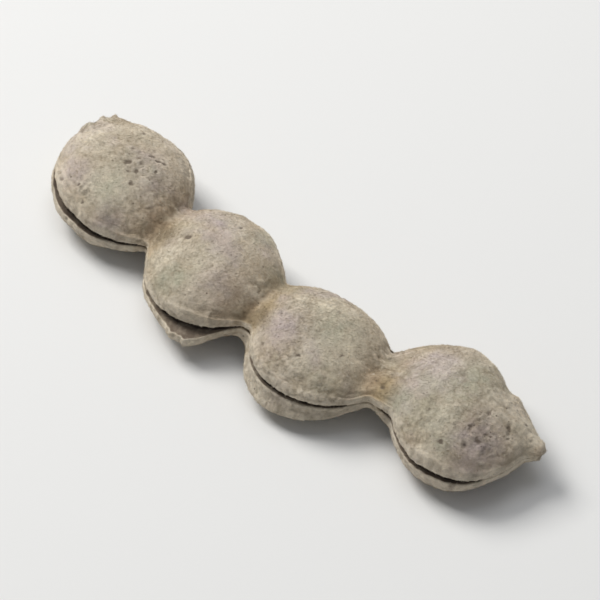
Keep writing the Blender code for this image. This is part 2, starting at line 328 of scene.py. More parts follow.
def podSection(place):
    # The closed section of every ring, by columns: v to the closed seam, z up, t from -1 at the slit
    # to 1 at the closed seam, and depth, which is 0 on the skin and 1 inside the slit
    s = podShape
    closedSeam, slitSeam = halfWidth(place, "closedSide"), halfWidth(place, "slitSide")
    size = np.minimum(1.0, closedSeam / s["fullSizeFrom"])
    share, gap, step, droop, ledgeShade = slitOpening(place)
    nibble = s["lipNibble"] * share * rowNoise(place, "lipNibble")
    uneven = 1 + s["mouthVaries"] * rowNoise(place, "mouthVaries")
    mouth = (s["closedSlit"] * size + gap) / 2 * uneven
    depth = s["closedDepth"] * size + (s["slitDepth"] - s["closedDepth"]) * share
    edge = np.maximum(s["edge"] * size, mouth + s["lip"] * size)
    rounding, groove = s["lipRound"] * size, s["seamDepth"] * size
    crown = swell(place, "crown", s["fullness"]) - edge * s["edgeInDome"]
    upperLip = -slitSeam + nibble
    belly = bellySwelling(place)
    none = 0.0 * share
    sides = (
        (1, upperLip, crown, none, none, s["crownPoints"]),
        (-1, upperLip - step, crown * s["bellyShare"], belly, droop, s["bellyPoints"]),
    )
    halves = []
    for up, lip, height, out, drop, count in sides:
        columns = []
        for inward in s["slitColumns"]:
            opening = np.interp(inward, *s["slitNarrowing"])
            v = upperLip + rounding + (depth - rounding) * inward + (lip - upperLip) * (1 - inward) ** 3
            # Painted shade: how dark the ledge and the slit's inside are painted, from 0 to 1
            ledge = ledgeShade * np.clip((v - lip - s["paleLip"]) / s["ledgeWithin"], 0, 1)
            dark = np.maximum(ledge, np.clip((v - upperLip) / s["darkWithin"], 0, 1))
            z = mouth * opening + drop * (1 - inward) ** 2
            columns.append((v, up * z, -1.0, dark * np.minimum(1, share * s["darkSpread"])))
        for turn in np.linspace(0, pi / 2, s["lipPoints"]):
            v, z = lip + rounding * (1 - sin(turn)), mouth + drop + rounding * (1 - cos(turn))
            columns.append((v, up * z, -1.0, none))
        for rise in s["lipRises"]:
            z = mouth + drop + rounding + (edge - mouth - rounding) * rise
            columns.append((lip - s["lipInset"] * size, up * z, -1.0, none))
        for t in -np.cos(np.linspace(0, pi, count + 2)[1:-1]):
            bulge = out * s["bellyBulge"] * t**4 * (1 - t**2) ** 0.5
            v = -t * lip - bulge if t < 0 else t * closedSeam
            z = valveHeight(t, place, closedSeam, height, edge, out) + drop * max(0, -2 * t - 1)
            columns.append((v, up * z, t, none))
        for bulge, rise in s["seamProfile"]:
            columns.append((closedSeam + bulge * groove, up * edge * rise, 1.0, none))
        halves.append(columns if up > 0 else columns[::-1])
    bottom = [(closedSeam - groove, none, 1.0, none)]
    columns = halves[0] + bottom + halves[1]
    return [np.concatenate([np.broadcast_to(c[k], place.shape) for c in columns], 1) for k in range(4)]


def podPoints(place):
    # The sections on the pod's curve, with its lumps, wobble and ragged ends
    s = podShape
    v, z, t, depth = podSection(place)
    place = np.broadcast_to(place, v.shape)
    jag = 0.0
    for end, size in ((snappedEnd, s["snapJag"]), (beakEnd, s["beakJag"])):
        near = np.clip(1 - np.abs(place - end) / s["jagReach"], 0, 1) ** 2
        jag = jag + near * size * noiseAt(stacked(v, z, end), s["jagSize"])
    wobble = noiseAt(stacked(place / s["wobbleLength"], s["wobbleSides"] * np.sign(v), 0.0), 1.0)
    along, w = place + jag, v * (1 + s["wobble"] * wobble)
    turn = s["twist"] * np.sin(2 * pi * along / s["twistLength"])
    side = w * np.cos(turn) - z * np.sin(turn)
    height = w * np.sin(turn) + z * np.cos(turn)
    side += s["sideWander"] * np.sin(2 * pi * along / s["sideWanderLength"] + s["sideWanderStart"])
    snapped = np.clip(s["snappedBendFrom"] - along, 0, None) / (s["snappedBendFrom"] - snappedEnd)
    side += s["snappedBend"] * snapped**2
    angle = (along - middles.mean()) / s["bendRadius"]
    x = (s["bendRadius"] - side) * np.sin(angle)
    y = s["bendRadius"] - (s["bendRadius"] - side) * np.cos(angle)
    lumps = noiseAt(stacked(x, y, z), s["lumpSize"])
    fine = noiseAt(stacked(x, y, z), s["fineLumpSize"], s["fineLumpShift"])
    lumps = lumps + s["fineLumpShare"] * fine
    height += s["lumpHeight"] * lumps * np.sign(z) * np.minimum(1, np.abs(z) / s["lumpsFullFrom"])
    return np.stack([x, y, height], -1), place, t, depth


def closingRings(ring, steps):
    # Smaller and smaller copies of an end ring
    middle = ring.mean(0)
    return np.array([middle + (ring - middle) * share + (shift, 0, 0) for share, shift in steps])


def podRings():
    # Every ring of points where it lies, with its place, t and depth in the slit
    s = podShape
    points, place, t, depth = podPoints(evenPlaces(s["rings"]))
    hollow, blunt = closingRings(points[0], s["hollowEnd"]), closingRings(points[-1], s["bluntEnd"])
    rings = np.concatenate([hollow, points, blunt])
    pad = ((len(hollow), len(blunt)), (0, 0))
    place, t, depth = (np.pad(values, pad, mode="edge") for values in (place, t, depth))
    rings[..., 2] = np.maximum(rings[..., 2] - rings[..., 2].min() - s["restingFlat"], 0)
    flat = rings.reshape(-1, 3)
    flat[:, :2] -= (flat[:, :2].min(0) + flat[:, :2].max(0)) / 2
    return rings, place, t, depth


# Tones of the skin, each as soft round patches, and its pits

skinPatches = {  # x, y, size across and strength of each, on the upper valve
    "pitted": (
        (-20.2, 2.6, 1.7, 0.75), (-19.9, 4.4, 1.1, 0.6), (-22.8, -2.8, 1.5, 0.5), (-11.0, -0.5, 0.5, 0.9),
        (-8.2, 3.6, 0.5, 0.7), (3.6, -1.6, 1.6, 0.2), (24.6, 0.6, 1.9, 0.6), (23.8, 2.3, 0.6, 0.8),
        (26.0, 2.4, 0.6, 0.8), (20.3, -1.8, 1.2, 0.35), (25.9, 4.6, 1.2, 0.5),
    ),
    "lilac": (
        (-17.3, 1.9, 1.6, 0.8), (-24.6, -1.5, 1.6, 0.7), (-18.6, -3.8, 1.5, 0.9), (-10.2, 3.0, 1.8, 0.45),
        (-5.2, -3.0, 2.0, 0.6), (3.2, -2.4, 2.3, 0.7), (16.6, 3.6, 2.2, 0.8), (24.9, -0.2, 2.2, 0.9),
        (-20.4, 3.4, 1.8, 0.5), (25.6, -3.2, 1.6, 0.6),
    ),
    "green": (
        (-20.8, -0.8, 2.4, 0.8), (-9.2, -4.6, 2.2, 0.5), (-2.2, 1.6, 1.5, 0.8), (6.6, 0.4, 2.6, 0.8),
        (20.2, 4.4, 2.3, 0.9), (22.2, -2.7, 1.4, 0.8), (9.2, -4.4, 2.2, 0.5), (15.6, -1.2, 1.4, 0.7),
    ),
    # Olive patches: partly olive colour, partly painted shade on the flanks by the necks and under the
    # flare
    "oliveAndShade": (
        (-13.8, -0.9, 1.15, 1.4), (-16.4, 2.6, 1.8, 0.5), (-2.2, -3.0, 1.9, 0.55), (14.5, -0.8, 1.2, 0.6),
        (-18.4, -4.8, 1.8, 0.4), (-4.4, -5.6, 1.6, 0.2), (25.8, -4.2, 2.6, 0.6), (27.0, 1.6, 1.6, 0.3),
        (-0.5, -2.4, 1.1, 1.6), (-4.8, -7.9, 2.0, 0.5), (-20.8, 2.2, 1.9, 0.35), (24.2, 0.4, 1.8, 0.35),
    ),
    # Pale patches: partly pale tone, partly painted light that lightens the flank before the last neck
    "paleAndLit": (
        (-26.6, 3.4, 2.0, 0.8), (-11.6, -3.4, 1.4, 0.6), (-12.2, 1.0, 1.8, 0.5), (1.8, 0.6, 1.4, 0.5),
        (20.4, -2.2, 1.3, 0.6), (27.2, 5.2, 1.6, 0.8), (16.6, 3.6, 1.9, 0.45), (-22.6, 6.0, 2.0, 0.5),
        (4.4, 2.2, 1.8, 0.6), (-24.0, 2.0, 1.6, 0.4), (-8.0, -1.4, 2.2, 0.35), (28.0, 2.6, 1.2, 0.9),
        (-4.6, -8.2, 1.6, 0.6), (9.8, -0.4, 2.0, 0.9), (11.2, -0.2, 1.2, 0.5),
    ),
    "tan": ((12.4, -0.6, 1.9, 0.8), (-15.2, 0.0, 1.5, 0.5), (-0.9, -2.8, 1.2, 0.8), (29.0, 2.8, 1.0, 0.4)),
    "crackled": (
        (3.6, 1.0, 2.8, 1.0), (20.3, -2.2, 2.0, 0.9), (24.6, 0.2, 2.2, 1.0), (-22.6, -2.8, 1.6, 0.8),
        (-19.8, 3.2, 2.2, 0.7), (26.6, 4.8, 1.8, 0.9), (-11.8, -4.2, 1.6, 0.6), (5.6, -5.4, 2.0, 0.7),
        (-15.2, -3.6, 1.6, 0.6), (-26.4, 2.4, 1.6, 0.5), (-9.0, 2.4, 2.2, 0.4),
    ),
    "ragged": ((-4.6, -8.0, 1.5, 0.6), (27.6, 4.6, 1.1, 0.7)),
}
skinMarks = {
    "pittedEverywhere": 0.05,
    # Strengths of the tan colour and painted shade on the flank before each neck, and of the yellow band
    # past it
    "flankTanAndShade": (1.0, 1.0, 0.4), "yellowed": (0.4, 0.9, 0.9),  # a strength for each neck
    "flankShift": 0.1, "flankBack": 2.6, "flankAhead": 1.5, "yellowShift": 1.2, "yellowReach": 0.9,
    "yellowFade": (0.75, 0.25, 1.0),  # at the middle, least and most
    "snapReach": 2.0, "beakReach": 2.2, "rimReach": 0.05, "rimShadeUpTo": 0.01,
    "pits": (  # x, y, radius and depth, on the upper valve
        (-21.4, 2.2, 0.34, 0.24), (-20.0, 2.0, 0.25, 0.18), (-19.4, 0.5, 0.24, 0.14),
        (-20.3, 4.4, 0.28, 0.18), (-19.5, 4.3, 0.22, 0.15), (-18.7, 3.2, 0.17, 0.12),
        (-23.4, -2.4, 0.20, 0.14), (-22.0, -3.4, 0.16, 0.09), (-11.0, -0.5, 0.36, 0.26),
        (-8.2, 3.6, 0.20, 0.14), (5.9, -4.1, 0.20, 0.09), (9.0, -1.5, 0.17, 0.08),
        (23.7, 2.3, 0.27, 0.18), (25.8, 2.6, 0.25, 0.16), (23.4, 0.0, 0.19, 0.11),
        (24.8, -0.5, 0.24, 0.13), (25.3, 0.7, 0.18, 0.10), (22.2, -2.7, 0.22, 0.09),
        (-20.9, 3.3, 0.16, 0.10), (-18.9, 4.6, 0.15, 0.10),
    ),
    "pitsAbove": 3.3, "pitUneven": 0.9, "pitUnevenSize": 0.33, "pitDrop": 0.75,
    "pitWall": 0.12, "pitWallAt": 1.6, "pitWallWidth": 0.5,
}


def pitField(points):
    # 1 in the middle of each pit, and how far the skin drops there, with a low wall round it
    s = skinMarks
    pit, drop = np.zeros(len(points)), np.zeros(len(points))
    uneven = 1 + s["pitUneven"] * noiseAt(points, s["pitUnevenSize"])
    upper = points[:, 2] > s["pitsAbove"]
    for x, y, radius, depth in s["pits"]:
        far = np.hypot(points[:, 0] - x, points[:, 1] - y) / radius * uneven
        inside = np.exp(-(far**2)) * upper
        wall = np.exp(-(((far - s["pitWallAt"]) / s["pitWallWidth"]) ** 2)) * upper
        pit = np.maximum(pit, inside)
        drop += depth * (s["pitDrop"] * inside - s["pitWall"] * wall)
    return pit, drop


def patchField(name, points):
    total = np.full(len(points), skinMarks["pittedEverywhere"] if name == "pitted" else 0.0)
    for x, y, size, strength in skinPatches[name]:
        reach = (points[:, 0] - x) ** 2 + (points[:, 1] - y) ** 2
        total += strength * np.exp(-reach / size**2)
    return total


def skinFields(points, place, t, depth):
    # The values that the relief, the colours and the felt read from the mesh
    s = skinMarks
    flankTanAndShade, yellowed = (np.array(s[name])[:, None, None] for name in ("flankTanAndShade", "yellowed"))
    # Tan colour and painted shade on the flank before each neck
    past = place - neckPlaces[:, None, None] - s["flankShift"]
    neck = flankTanAndShade * np.exp(-((past / np.where(past < 0, s["flankBack"], s["flankAhead"])) ** 2))
    band = yellowed * np.exp(-(((past - s["yellowShift"]) / s["yellowReach"]) ** 2))
    middle, least, most = s["yellowFade"]
    snap = np.exp(-(((place - snappedEnd) / s["snapReach"]) ** 2))
    beak = np.exp(-(((place - beakEnd) / s["beakReach"]) ** 2))
    fields = {"across": t, "along": place, "inSlit": depth, "neck": neck.sum(0)}
    fields["neckBand"] = band.sum(0) * np.clip(middle - t, least, most)
    fields["rim"] = np.exp(-(((1 - np.abs(t)) / s["rimReach"]) ** 2)) * (depth < s["rimShadeUpTo"])
    for name in skinPatches:
        fields[name] = patchField(name, points).reshape(place.shape)
    fields["tornEnd"] = snap + beak + fields.pop("ragged")
    return fields


def makePodSkin():
    rings, place, t, depth = podRings()
    points = rings.reshape(-1, 3)
    pit, drop = pitField(points)
    points[:, 2] -= drop

    count, around = rings.shape[:2]
    low = np.arange(count - 1)[:, None] * around
    k = np.arange(around)[None]
    after = (k + 1) % around
    faces = np.stack([low + k, low + after, low + around + after, low + around + k], -1).reshape(-1, 4)
    mesh = bpy.data.meshes.new("podSkin")
    mesh.from_pydata(points * mm, [], faces.tolist())
    fields = dict(skinFields(points, place, t, depth), dent=pit)
    for name, values in fields.items():
        layer = mesh.attributes.new(name, "FLOAT", "POINT")
        layer.data.foreach_set("value", np.ascontiguousarray(values, np.float32).ravel())
    tidy = bmesh.new()
    tidy.from_mesh(mesh)
    bmesh.ops.remove_doubles(tidy, verts=tidy.verts, dist=1e-7)
    bmesh.ops.recalc_face_normals(tidy, faces=tidy.faces)
    tidy.to_mesh(mesh)
    tidy.free()
    mesh.shade_smooth()
    return newObject("podBlank", mesh)


# Relief of the skin: undulations, wrinkles that gather in the necks, creases, pits and torn ends

relief = {
    "sizes": {
        "Undulation": 0.12, "Wrinkle": 0.075, "Welt": 0.045, "Crinkle": 0.05, "Mottle": 0.035,
        "Crackle": 0.055, "Pit Depth": 0.17, "Pit Spacing": 0.80, "Tear": 0.24, "Rim Notch": 0.09,
        "Ripple": 0.035,
    },
    "patterns": {  # scale a millimetre, detail, roughness and distortion of each noise
        "undulation": (0.55, 3.0, 0.55), "mottle": (1.15, 4.0, 0.68, 0.4),
        "wrinkle": (1.0, 2.0), "wrinkleStray": (0.5, 2.0), "wrinklePatch": (0.30, 1.0),
        "rippleSway": (0.4, 2.0), "ripplePatch": (0.21, 1.0),
        "crinkleStray": (0.8, 2.0), "crinklePatch": (0.16, 1.0),
        "crackleStray": (1.7, 2.0), "cracklePatch": (0.5, 2.0),
        "tear": (1.5, 4.0, 0.65), "notch": (2.2, 2.0),
    },
    "wrinklesAcross": 4.2, "wrinkleStray": 3.0, "wrinkleStretch": 0.30, "wrinkleCrackled": 0.6,
    "wrinkleGather": 0.75, "wrinkleElsewhere": 0.25,
    "rippleCount": 62.0, "rippleSway": 9.0, "crinkleStray": 1.6, "crinkleCells": 0.62,
    "crackleStray": 0.9, "crackleCells": 1.5, "crackleElsewhere": 0.12,
    "pitVaries": 0.20, "pitLeast": 0.14,
    "ramps": {  # the values that give none and all of each mask
        "crease": (0.07, 0.0), "weltInner": (0.05, 0.10), "weltOuter": (0.19, 0.11),
        "wrinklePatch": (0.46, 0.62), "rippleInner": (0.55, 0.78), "rippleOuter": (0.97, 0.92),
        "ripplePatch": (0.44, 0.58), "crinkle": (0.11, 0.0), "crinklePatch": (0.44, 0.60),
        "crackle": (0.02, 0.24), "cracklePatch": (0.40, 0.58), "pit": (1.35, 0.25),
        "outside": (0.55, 0.25), "aboveFlats": (0.0, 0.35),
    },
}


def masked(tree, value, name):
    return ramp(tree, value, *relief["ramps"][name])


def patches(tree, spot, name):
    # Soft patches of a relief, where its noise is high
    return masked(tree, noiseValue(tree, spot, *relief["patterns"][name]), name)


def wrinkleMasks(tree, spot, field):
    # Creases and the low welts beside them, along the pod because the noise is stretched along it
    form, pattern = relief, relief["patterns"]
    sideways = calc(tree, "MULTIPLY", field("across"), form["wrinklesAcross"])
    stray = product(tree, noiseValue(tree, spot, *pattern["wrinkleStray"]), form["wrinkleStray"])
    lengthways = calc(tree, "MULTIPLY", field("along"), form["wrinkleStretch"])
    lines = addNode(tree, "ShaderNodeCombineXYZ", {0: calc(tree, "ADD", sideways, stray), 1: lengthways})
    fromLine = calc(tree, "ABSOLUTE", centredNoise(tree, lines.outputs[0], *pattern["wrinkle"]))
    crease = masked(tree, fromLine, "crease")
    welt = product(tree, masked(tree, fromLine, "weltInner"), masked(tree, fromLine, "weltOuter"))
    patch = patches(tree, spot, "wrinklePatch")
    near = calc(tree, "ADD", field("neck"), field("neckBand"))
    near = calc(tree, "MULTIPLY_ADD", field("crackled"), form["wrinkleCrackled"], near)
    near = calc(tree, "MINIMUM", near, 1.0)
    near = calc(tree, "MULTIPLY_ADD", near, form["wrinkleGather"], form["wrinkleElsewhere"])
    gather = calc(tree, "MULTIPLY", near, patch)
    return product(tree, crease, gather), product(tree, welt, gather)


def rippleWave(tree, spot, field):
    # Ripples run along the seams, in patches
    form, pattern = relief, relief["patterns"]
    seamward = calc(tree, "ABSOLUTE", field("across"))
    sway = product(tree, noiseValue(tree, spot, *pattern["rippleSway"]), form["rippleSway"])
    wave = calc(tree, "SINE", calc(tree, "MULTIPLY_ADD", field("across"), form["rippleCount"], sway))
    band = product(tree, masked(tree, seamward, "rippleInner"), masked(tree, seamward, "rippleOuter"))
    return product(tree, wave, product(tree, band, patches(tree, spot, "ripplePatch")))


def cellBorder(tree, spot, stray, cellScale):
    # Distance to the borders of a cell pattern whose cells are pushed about by a noise
    drift = noiseNode(tree, spot, *relief["patterns"][stray]).outputs[1]
    strayed = vectorCalc(tree, "ADD", spot, scaled(tree, drift, relief[stray]))
    inputs = {"Vector": strayed, "Scale": relief[cellScale]}
    cells = addNode(tree, "ShaderNodeTexVoronoi", inputs, feature="DISTANCE_TO_EDGE")
    return cells.outputs["Distance"]


def crinkleMask(tree, spot):
    # Crinkles are the cell borders, in patches
    border = cellBorder(tree, spot, "crinkleStray", "crinkleCells")
    return product(tree, masked(tree, border, "crinkle"), patches(tree, spot, "crinklePatch"))


def crackleParts(tree, spot, field):
    # Crackle is finer, with small raised cells between lower borders; the colour adds painted light on the
    # cells and painted shade on the borders
    raised = masked(tree, cellBorder(tree, spot, "crackleStray", "crackleCells"), "crackle")
    share = product(tree, patches(tree, spot, "cracklePatch"), field("crackled"))
    share = calc(tree, "ADD", share, relief["crackleElsewhere"])
    return raised, calc(tree, "MINIMUM", share, 1.0)


def pitMask(tree, spot, field, spacing):
    # One cell in a few is dented, more of them where the skin is thickly pitted
    scale = calc(tree, "DIVIDE", 1.0, spacing)
    dots = addNode(tree, "ShaderNodeTexVoronoi", {"Vector": spot, "Scale": scale})
    chance = threeParts(tree, dots.outputs["Color"])
    chosen = calc(tree, "LESS_THAN", chance[0], field("pitted"))
    reach = calc(tree, "MULTIPLY_ADD", chance[1], relief["pitVaries"], relief["pitLeast"])
    dent = masked(tree, calc(tree, "DIVIDE", dots.outputs["Distance"], reach), "pit")
    return product(tree, dent, chosen)


def makeReliefTree(material):
    tree, size, end = newShapeTree("podRelief", relief["sizes"])
    pattern = relief["patterns"]
    spot = placeInMm(tree)

    def field(name):
        return storedField(tree, name)

    def layered(height, operation, mask, label):
        return calc(tree, operation, height, product(tree, mask, size[label]))

    height = product(tree, centredNoise(tree, spot, *pattern["undulation"]), size["Undulation"])
    crease, welt = wrinkleMasks(tree, spot, field)
    height = layered(height, "SUBTRACT", crease, "Wrinkle")
    height = layered(height, "ADD", welt, "Welt")
    height = layered(height, "ADD", centredNoise(tree, spot, *pattern["mottle"]), "Mottle")
    height = layered(height, "ADD", rippleWave(tree, spot, field), "Ripple")
    crinkle = crinkleMask(tree, spot)
    height = layered(height, "SUBTRACT", crinkle, "Crinkle")
    raised, crackled = crackleParts(tree, spot, field)
    height = layered(height, "ADD", product(tree, raised, crackled), "Crackle")
    pit = pitMask(tree, spot, field, size["Pit Spacing"])
    height = layered(height, "SUBTRACT", pit, "Pit Depth")
    rough, notch = (centredNoise(tree, spot, *pattern[name]) for name in ("tear", "notch"))
    torn = product(tree, rough, field("tornEnd"), size["Tear"])
    notched = product(tree, notch, field("rim"), size["Rim Notch"])
    height = calc(tree, "ADD", height, calc(tree, "ADD", torn, notched))

    # The slit's inside and the resting flats stay plain
    outside = masked(tree, field("inSlit"), "outside")
    aboveFlats = masked(tree, heightOf(tree, spot), "aboveFlats")
    height = product(tree, height, outside, aboveFlats, mm)
    offset = scaled(tree, addNode(tree, "GeometryNodeInputNormal").outputs[0], height)
    moved = addNode(tree, "GeometryNodeSetPosition", {"Geometry": size["Geometry"], "Offset": offset})
    shape = moved.outputs[0]
    # Stored for the colour: painted light on the raised cells and painted shade on their borders
    crackle = product(tree, calc(tree, "SUBTRACT", raised, 0.5), crackled)
    stored = {"pit": pit, "wrinkle": crease, "welt": welt, "crinkle": crinkle, "crackle": crackle}
    for name, value in stored.items():
        inputs = {"Geometry": shape, "Name": name, "Value": value}
        made = addNode(tree, "GeometryNodeStoreNamedAttribute", inputs, data_type="FLOAT", domain="POINT")
        shape = made.outputs[0]
    endShapeTree(tree, end, shape, material)
    return tree


# The felted shell's colours

shellLook = {
    "colors": {
        "beige": (0.43, 0.36, 0.265), "light": (0.585, 0.515, 0.41), "lilac": (0.475, 0.40, 0.39),
        "green": (0.37, 0.365, 0.275), "oliveAndShade": (0.20, 0.155, 0.095), "paleAndLit": (0.70, 0.64, 0.51),
        "tan": (0.40, 0.275, 0.165), "ochre": (0.44, 0.335, 0.185), "speck": (0.10, 0.075, 0.055),
        # The slit's tone is painted shade; the ledge's is painted shade over the brown of its inner face
        "slit": (0.03, 0.018, 0.012), "ledge": (0.15, 0.115, 0.085), "rim": (0.64, 0.57, 0.46),
    },
    "clouds": {  # shift, scale a millimetre, and the noise values that give none and all of it
        "light": (0.0, 0.28, 0.36, 0.64), "ragged": (11.0, 0.9, 0.36, 0.60),
        "lilac": (31.0, 0.20, 0.48, 0.68), "green": (5.0, 0.20, 0.48, 0.68),
        "neck": (19.0, 0.42, 0.26, 0.60), "neckBand": (3.0, 0.5, 0.26, 0.52),
        "oliveAndShade": (47.0, 0.55, 0.20, 0.55), "lowValveShade": (23.0, 0.45, 0.34, 0.62),
        "rim": (53.0, 0.8, 0.30, 0.55), "ledge": (7.0, 1.3, 0.36, 0.60),
        "fleck": (63.0, 1.9, 0.60, 0.68), "fleckPatch": (29.0, 0.33, 0.42, 0.62),
        "smudge": (91.0, 1.5, 0.58, 0.68), "smudgePatch": (37.0, 0.27, 0.44, 0.62),
    },
    "most": {  # the most of each tone that is laid on
        "lilac": 0.85, "green": 0.75, "paleAndLit": 0.60, "tan": 0.72, "ochre": 0.78, "oliveAndShade": 0.72,
        "lowValveShade": 0.30, "rim": 0.85, "fleck": 0.85, "smudge": 0.45, "welt": 0.35,
        "wandering": 0.6, "neckTanAndShade": 0.6, "pit": 0.85, "dent": 0.85, "wrinkle": 0.55, "crinkle": 0.40,
    },
    "varies": {  # how much each varies, and its least
        "ragged": (0.6, 0.5), "lowValveShade": (0.5, 0.5), "coarse": (0.4, 0.65),
        "speckChance": (0.9, 0.05), "speck": (0.6, 0.3), "ledge": (0.35, 0.68),
    },
    "ramps": {  # the values that give none and all of each
        "lowValveShade": (2.9, 1.7), "speck": (0.24, 0.07), "dent": (0.15, 0.70),
        "ledge": (0.02, 0.6), "slit": (0.6, 0.95),
    },
    "cloudWay": (1.0, 0.7, 0.4), "cloudDetail": (4.0, 0.62),
    "coarse": (1.25, 6.0, 0.72, 0.5), "fine": (4.5, 3.0, 0.7), "fineShare": 0.50,
    "blotch": (0.6, 2.0), "blotchShift": (2.0, 9.0, 4.0), "blotchShare": 0.40,
    "crackleShare": 0.46, "speckScale": 1.9, "leastFleck": 0.5,
    "fibres": (7.5, 4.0, 0.7, 0.6), "fibreShare": 0.6, "grain": (2.6, 3.0, 0.6),
    "bump": 0.7, "bumpDepth": 0.06, "roughness": 0.98, "roughnessDrop": -0.12, "specular": 0.15,
    "sheen": 0.35, "sheenRoughness": 0.55, "sheenTint": (0.93, 0.88, 0.80),
}


def surfaceField(tree, name):
    return addNode(tree, "ShaderNodeAttribute", attribute_name=name).outputs["Fac"]


def cloud(tree, spot, name):
    shift, scale, low, high = shellLook["clouds"][name]
    moved = vectorCalc(tree, "ADD", spot, tuple(shift * way for way in shellLook["cloudWay"]))
    return ramp(tree, noiseValue(tree, moved, scale, *shellLook["cloudDetail"]), low, high)


def varied(tree, value, name):
    return calc(tree, "MULTIPLY_ADD", value, *shellLook["varies"][name])


def toneOf(name):
    return (*shellLook["colors"][name], 1.0)


def tinted(tree, color, share, tone, most):
    share = calc(tree, "MINIMUM", share, 1.0)
    return mixColor(tree, product(tree, share, shellLook["most"][most]), color, toneOf(tone))


def tonedShell(tree, spot):
    # Beige with lilac, green and pale patches, tan necks with painted shade on their flanks, painted shade
    # low on the lower valve, and a pale rim
    color = mixColor(tree, cloud(tree, spot, "light"), toneOf("beige"), toneOf("light"))
    ragged = varied(tree, cloud(tree, spot, "ragged"), "ragged")
    # Lilac and green patches, and pale patches that are partly painted light
    for name in ("lilac", "green", "paleAndLit"):
        share = product(tree, surfaceField(tree, name), ragged)
        if name in shellLook["clouds"]:
            wandering = product(tree, cloud(tree, spot, name), shellLook["most"]["wandering"])
            share = calc(tree, "ADD", wandering, share)
        color = tinted(tree, color, share, name, name)
    # Tan colour and painted shade on the flank before each neck, plus the tan patches
    flank = product(tree, surfaceField(tree, "neck"), cloud(tree, spot, "neck"))
    flank = calc(tree, "MULTIPLY_ADD", flank, shellLook["most"]["neckTanAndShade"], surfaceField(tree, "tan"))
    color = tinted(tree, color, flank, "tan", "tan")
    # An ochre band past each neck, and olive patches that are partly painted shade
    for name, tone in (("neckBand", "ochre"), ("oliveAndShade", "oliveAndShade")):
        share = product(tree, surfaceField(tree, name), cloud(tree, spot, name))
        color = tinted(tree, color, share, tone, tone)
    # Painted shade: the lower valve is darkened towards the bottom, as though it were in shadow
    uneven = varied(tree, cloud(tree, spot, "lowValveShade"), "lowValveShade")
    share = product(tree, ramp(tree, heightOf(tree, spot), *shellLook["ramps"]["lowValveShade"]), uneven)
    color = tinted(tree, color, share, "oliveAndShade", "lowValveShade")
    share = product(tree, surfaceField(tree, "rim"), cloud(tree, spot, "rim"))
    return tinted(tree, color, share, "rim", "rim")


def feltGrain(tree, spot, color):
    # Grain of the felt, coarser where the skin is crackled or pitted
    g = shellLook
    rough = calc(tree, "ADD", surfaceField(tree, "crackled"), surfaceField(tree, "pitted"))
    rough = varied(tree, calc(tree, "MINIMUM", rough, 1.0), "coarse")
    shade = calc(tree, "MULTIPLY_ADD", centredNoise(tree, spot, *g["fine"]), g["fineShare"], 1.0)
    shade = calc(tree, "MULTIPLY_ADD", centredNoise(tree, spot, *g["coarse"]), rough, shade)
    moved = vectorCalc(tree, "ADD", spot, g["blotchShift"])
    blotch = product(tree, centredNoise(tree, moved, *g["blotch"]), g["blotchShare"])
    shade = calc(tree, "ADD", shade, blotch)
    # Painted light and shade: the crackle's raised cells lighter, its borders darker
    shade = calc(tree, "ADD", shade, product(tree, surfaceField(tree, "crackle"), g["crackleShare"]))
    return mixColor(tree, 1.0, color, greyLevel(tree, shade), "MULTIPLY")


def flecks(tree, spot, color):
    # Pale flecks, olive smudges, and a painted highlight on the raised welts
    share = product(tree, cloud(tree, spot, "fleck"), cloud(tree, spot, "fleckPatch"))
    share = product(tree, share, calc(tree, "ADD", shellLook["leastFleck"], surfaceField(tree, "paleAndLit")))
    color = tinted(tree, color, share, "paleAndLit", "fleck")
    share = product(tree, cloud(tree, spot, "smudge"), cloud(tree, spot, "smudgePatch"))
    color = tinted(tree, color, share, "oliveAndShade", "smudge")
    # Painted highlight: the raised welts beside the creases are tinted pale, as though lit
    return tinted(tree, color, surfaceField(tree, "welt"), "paleAndLit", "welt")


def darkMarks(tree, spot, color):
    # Specks and dark pits, and painted shade in the creases and crinkles
    dots = addNode(tree, "ShaderNodeTexVoronoi", {"Vector": spot, "Scale": shellLook["speckScale"]})
    chance = threeParts(tree, dots.outputs["Color"])
    often = varied(tree, surfaceField(tree, "pitted"), "speckChance")
    chosen = calc(tree, "LESS_THAN", chance[0], often)
    dot = ramp(tree, dots.outputs["Distance"], *shellLook["ramps"]["speck"])
    specks = product(tree, dot, chosen, varied(tree, chance[1], "speck"))
    most = shellLook["most"]
    pits = product(tree, surfaceField(tree, "pit"), most["pit"])
    dents = ramp(tree, surfaceField(tree, "dent"), *shellLook["ramps"]["dent"])
    dents = product(tree, dents, most["dent"])
    specks = calc(tree, "MAXIMUM", calc(tree, "MAXIMUM", specks, pits), dents)
    color = mixColor(tree, specks, color, toneOf("speck"))
    # Painted shade: the creases and crinkles are darkened, as though shaded
    creases = [product(tree, surfaceField(tree, name), most[name]) for name in ("wrinkle", "crinkle")]
    return mixColor(tree, calc(tree, "MAXIMUM", *creases), color, toneOf("oliveAndShade"))


def darkSlit(tree, spot, color):
    # Painted shade on the lower lip's ledge, over its partly brown inner face, and painted shade that
    # makes the slit's inside near-black
    inSlit = surfaceField(tree, "inSlit")
    shaded = varied(tree, cloud(tree, spot, "ledge"), "ledge")
    shaded = product(tree, ramp(tree, inSlit, *shellLook["ramps"]["ledge"]), shaded)
    color = mixColor(tree, shaded, color, toneOf("ledge"))
    return mixColor(tree, ramp(tree, inSlit, *shellLook["ramps"]["slit"]), color, toneOf("slit"))


